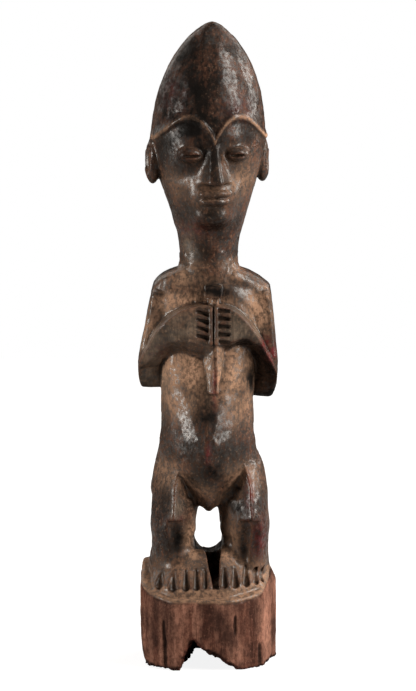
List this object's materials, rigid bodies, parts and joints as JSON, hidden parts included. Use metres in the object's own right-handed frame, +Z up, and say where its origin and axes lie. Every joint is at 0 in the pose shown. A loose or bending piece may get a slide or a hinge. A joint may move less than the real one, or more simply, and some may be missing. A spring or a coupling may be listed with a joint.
{
  "type": "carved wooden statuette",
  "caption": "Standing carved figure with a tall pointed cap, joined hands on an upright pipe, bent knees and a broad block base worn away below.",
  "frame": {"origin": "centre of the bounding box at the underside of the base", "axes": "+Z up along the height, the figure faces -Y, +X to the viewer's right"},
  "size_m": [0.0654, 0.0554, 0.3],
  "materials": {
    "wood": "dark hand-rubbed patina, matt where the base is bare"
  },
  "bodies": {
    "root": {"statuette": "wood"}
  },
  "joints": []
}
